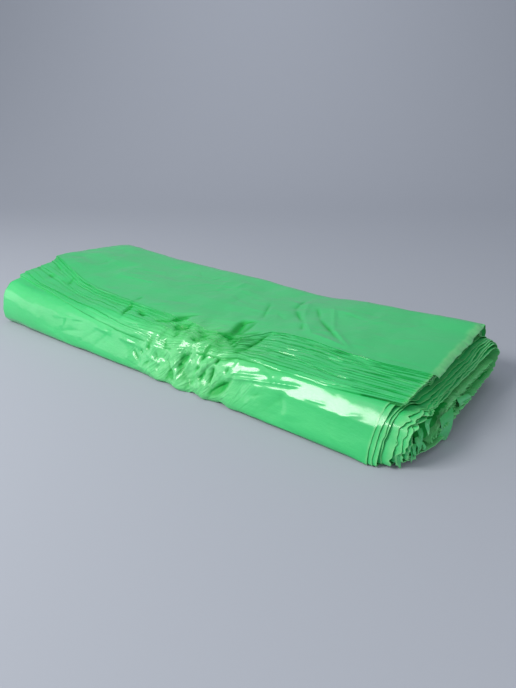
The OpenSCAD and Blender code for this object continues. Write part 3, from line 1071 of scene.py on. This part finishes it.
def film_material(name):
    mat = bpy.data.materials.new(name)
    mat.use_nodes = True
    tree = mat.node_tree
    shader = tree.nodes["Principled BSDF"]
    shader.inputs["IOR"].default_value = 1.5
    shader.inputs["Specular IOR Level"].default_value = 0.42
    shader.inputs["Coat Roughness"].default_value = 0.14
    shader.inputs["Subsurface Weight"].default_value = 0.1
    shader.inputs["Subsurface Radius"].default_value = (0.4, 1.0, 0.5)
    shader.inputs["Subsurface Scale"].default_value = 0.003
    place = node(tree, "ShaderNodeTexCoord", out=3)
    cloudy = node(tree, "ShaderNodeTexNoise", Vector=place, Scale=14.0, Detail=3.0)
    # Noise that mottles the pale rims and the painted sheen.
    mottle = node(tree, "ShaderNodeTexNoise", Vector=place, Scale=150.0, Detail=3.0)
    height = film_height(tree, place, mottle)
    bump = node(tree, "ShaderNodeBump", Strength=0.45, Distance=0.0012, Height=height)
    feeds = {
        "Base Color": film_colour(tree, cloudy, mottle),
        # The coat is left off the painted shade, so shaded places don't shine.
        "Coat Weight": COAT - mark(tree, "painted_shade") * COAT,
        "Roughness": 0.46 + cloudy * 0.16,
        "Normal": bump,
    }
    for socket, value in feeds.items():
        tree.links.new(value.socket, shader.inputs[socket])
    return mat


film = film_material("film")
for piece in pieces:
    piece.data.materials.append(film)
print("nodes in the film's material:", len(film.node_tree.nodes))

# %% [markdown]
# ## Floor, backdrop, light and camera
# The roll lies on a plain grey studio sweep: a floor that bends up into a wall without an edge,
# square to the camera. It is a grid whose rows are moved along the floor, round the bend and up.

# %% Stage
VIEW_TURN = 37.5
SWEEP_GREY = (0.38, 0.405, 0.47)
SWEEP_HALF_WIDTH, SWEEP_LENGTH, SWEEP_FRONT = 4.0, 6.0, 2.0
FLOOR_REACH, BEND_RADIUS = 1.0, 1.3


def plain(name, colour, rough=0.7):
    mat = bpy.data.materials.new(name)
    mat.use_nodes = True
    shader = mat.node_tree.nodes["Principled BSDF"]
    shader.inputs["Base Color"].default_value = (*colour, 1)
    shader.inputs["Roughness"].default_value = rough
    shader.inputs["Specular IOR Level"].default_value = 0.2
    return mat


bm = bmesh.new()
bmesh.ops.create_grid(bm, x_segments=1, y_segments=48, size=1.0)
for v in bm.verts:
    v.co.x *= SWEEP_HALF_WIDTH
    s = (v.co.y + 1) / 2 * SWEEP_LENGTH - SWEEP_FRONT
    a = min(max(0.0, s - FLOOR_REACH) / BEND_RADIUS, math.pi / 2)
    wall = max(0.0, s - FLOOR_REACH - BEND_RADIUS * math.pi / 2)
    v.co.y = min(s, FLOOR_REACH) + BEND_RADIUS * math.sin(a)
    v.co.z = BEND_RADIUS * (1 - math.cos(a)) + wall
mesh = bpy.data.meshes.new("sweep")
bm.to_mesh(mesh)
bm.free()
mesh.shade_smooth()
mesh.materials.append(plain("sweep_grey", SWEEP_GREY))
sweep_floor = bpy.data.objects.new("sweep", mesh)
bpy.context.scene.collection.objects.link(sweep_floor)
sweep_floor.rotation_euler = (0, 0, math.radians(VIEW_TURN))
print("sweep: %d points" % len(mesh.vertices))

# %% [markdown]
# The camera was solved from the roll's own edges: where it stands, how far it looks down and
# how long its lens is, which comes from a focal length in pixels of the picture's height. The
# key light is a small warm one from the upper left in front, which makes the gleam on the front
# bend. The others are large and weak: they fill the left end, the open end at the right, the top
# and the backdrop.

# %% Light and camera
CAMERA_AT = (0.4194, -0.4709, 0.272)
AZIMUTH, PITCH = math.radians(VIEW_TURN), math.radians(23.4)
FOCAL_PIXELS, PICTURE_PIXELS = 545.0, 688.0
SENSOR = 36.0
WORLD_COLOUR, WORLD_STRENGTH = (0.92, 0.96, 1.0, 1), 0.47
WARM = (1.0, 0.985, 0.93)

cam = bpy.data.cameras.new("camera")
cam.lens = FOCAL_PIXELS / PICTURE_PIXELS * SENSOR
cam.sensor_width = SENSOR
cam.clip_start = 0.01
camera = bpy.data.objects.new("camera", cam)
bpy.context.scene.collection.objects.link(camera)
camera.location = CAMERA_AT
camera.rotation_euler = (math.pi / 2 - PITCH, 0, AZIMUTH)
bpy.context.scene.camera = camera


def area_light(name, at, aim, size, watts, colour=(1, 1, 1)):
    data = bpy.data.lights.new(name, "AREA")
    data.shape = "RECTANGLE"
    data.size, data.size_y = size
    data.energy = watts
    data.color = colour
    lamp = bpy.data.objects.new(name, data)
    lamp.location = at
    lamp.rotation_euler = (Vector(aim) - Vector(at)).to_track_quat("-Z", "Y").to_euler()
    bpy.context.scene.collection.objects.link(lamp)


area_light("key", (-0.53, -0.95, 1.0), (0.1, -0.05, 0), (0.62, 0.5), 17, WARM)
area_light("left", (-1.7, -1.0, 0.4), (-0.1, -0.05, 0), (1.5, 0.7), 5)
area_light("right", (1.3, -0.55, 0.5), (0.3, 0, 0.03), (0.8, 0.8), 2.6)
area_light("overhead", (0, 0.1, 1.9), (0, 0, 0), (1.6, 1.6), 3)
area_light("backdrop", (-0.7, 0.9, 1.9), (-1.1, 2.3, 1.0), (1.2, 0.8), 9)
world = bpy.data.worlds.new("world")
bpy.context.scene.world = world
world.use_nodes = True
world.node_tree.nodes["Background"].inputs["Color"].default_value = WORLD_COLOUR
world.node_tree.nodes["Background"].inputs["Strength"].default_value = WORLD_STRENGTH
bpy.context.scene.view_settings.view_transform = "Standard"
print("lens %.1f mm, %d lights" % (cam.lens, len(bpy.data.lights)))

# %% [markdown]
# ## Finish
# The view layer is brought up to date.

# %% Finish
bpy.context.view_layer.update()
